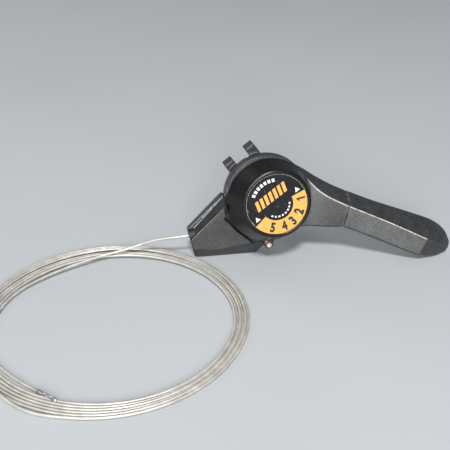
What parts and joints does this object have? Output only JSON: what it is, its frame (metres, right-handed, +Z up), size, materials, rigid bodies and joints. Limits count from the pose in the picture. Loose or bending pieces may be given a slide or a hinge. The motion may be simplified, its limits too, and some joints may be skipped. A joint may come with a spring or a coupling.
{
  "type": "thumb shifter",
  "caption": "Handlebar thumb shifter with a round indexed dial, a long thumb lever, a wedge-shaped cable stop, a hinged band clamp and its loose coiled inner wire.",
  "frame": {"origin": "on the surface that the shifter lies on, under the middle of the shifter's own box without the free wire", "axes": "+Z up from the surface; +X from the cable stop's side to the lever's tip; the dial faces -Y"},
  "size_m": [0.2056, 0.1413, 0.0492],
  "materials": {
    "moulded_black": "moulded black plastic, satin with scuffs",
    "cap_black": "smooth black plastic, semi-gloss",
    "grip_black": "fine textured black grip cover",
    "dial_print": "black dial with printed yellow scale and figures",
    "zinc_steel": "zinc-plated steel",
    "spring_steel": "spring steel",
    "bearing_steel": "polished",
    "zinc_alloy": "die-cast, matt",
    "nylon": "natural nylon",
    "brass": "turned",
    "copper": "copper-coloured indicator, worn",
    "wire_steel": "stranded galvanised wire",
    "crimp_aluminium": "bright"
  },
  "bodies": {
    "root": {"bracket": "moulded_black", "cable_stop_sleeve": "zinc_steel", "pivot_stud": "zinc_steel", "drum_washer": "nylon", "index_plate": "spring_steel", "wave_washer": "spring_steel", "top_washer": "zinc_steel", "pivot_screw": "zinc_steel", "dial_cap": "cap_black", "dial_plate": "dial_print", "wire_lead": "wire_steel", "hook_pin": "zinc_steel", "clamp_nut": "zinc_steel", "free_wire": "wire_steel", "wire_coil": "wire_steel", "wire_end_cap": "crimp_aluminium"},
    "lever": {"lever_arm": "moulded_black", "lever_cover": "grip_black", "pointer_pin": "copper", "cable_drum": "zinc_alloy", "cable_nipple": "zinc_alloy", "pivot_bush": "brass", "wire_on_drum": "wire_steel", "click_spring": "spring_steel"},
    "click_ball": {"click_ball": "bearing_steel"},
    "clamp_band": {"clamp_band": "zinc_steel"},
    "clamp_screw": {"clamp_screw": "zinc_steel", "clamp_washer": "zinc_steel"}
  },
  "joints": [
    {"name": "lever_turn", "type": "hinge", "parent": "root", "child": "lever", "pos_m": [-0.02165, -0.02153, 0.03154], "axis": [0.1655, -0.9682, 0.1874], "range_deg": [0, 111]},
    {"name": "click_ball_travel", "type": "slide", "parent": "lever", "child": "click_ball", "axis": [0.1655, -0.9682, 0.1874], "range_m": [0, 0.00045], "stiffness_N_per_m": 400, "springref_m": 0.0006},
    {"name": "clamp_screw_travel", "type": "slide", "parent": "root", "child": "clamp_screw", "axis": [-0.1655, 0.9682, -0.1874], "range_m": [0, 0.003]},
    {"name": "clamp_band_swing", "type": "hinge", "parent": "root", "child": "clamp_band", "pos_m": [-0.03299, 0.00423, 0.03912], "axis": [0.7852, 0.2443, 0.569], "range_deg": [0, 4.05]}
  ],
  "couplings": [
    {"joint": "clamp_band_swing", "follows": "clamp_screw_travel", "rad_per_m": 23.271}
  ]
}
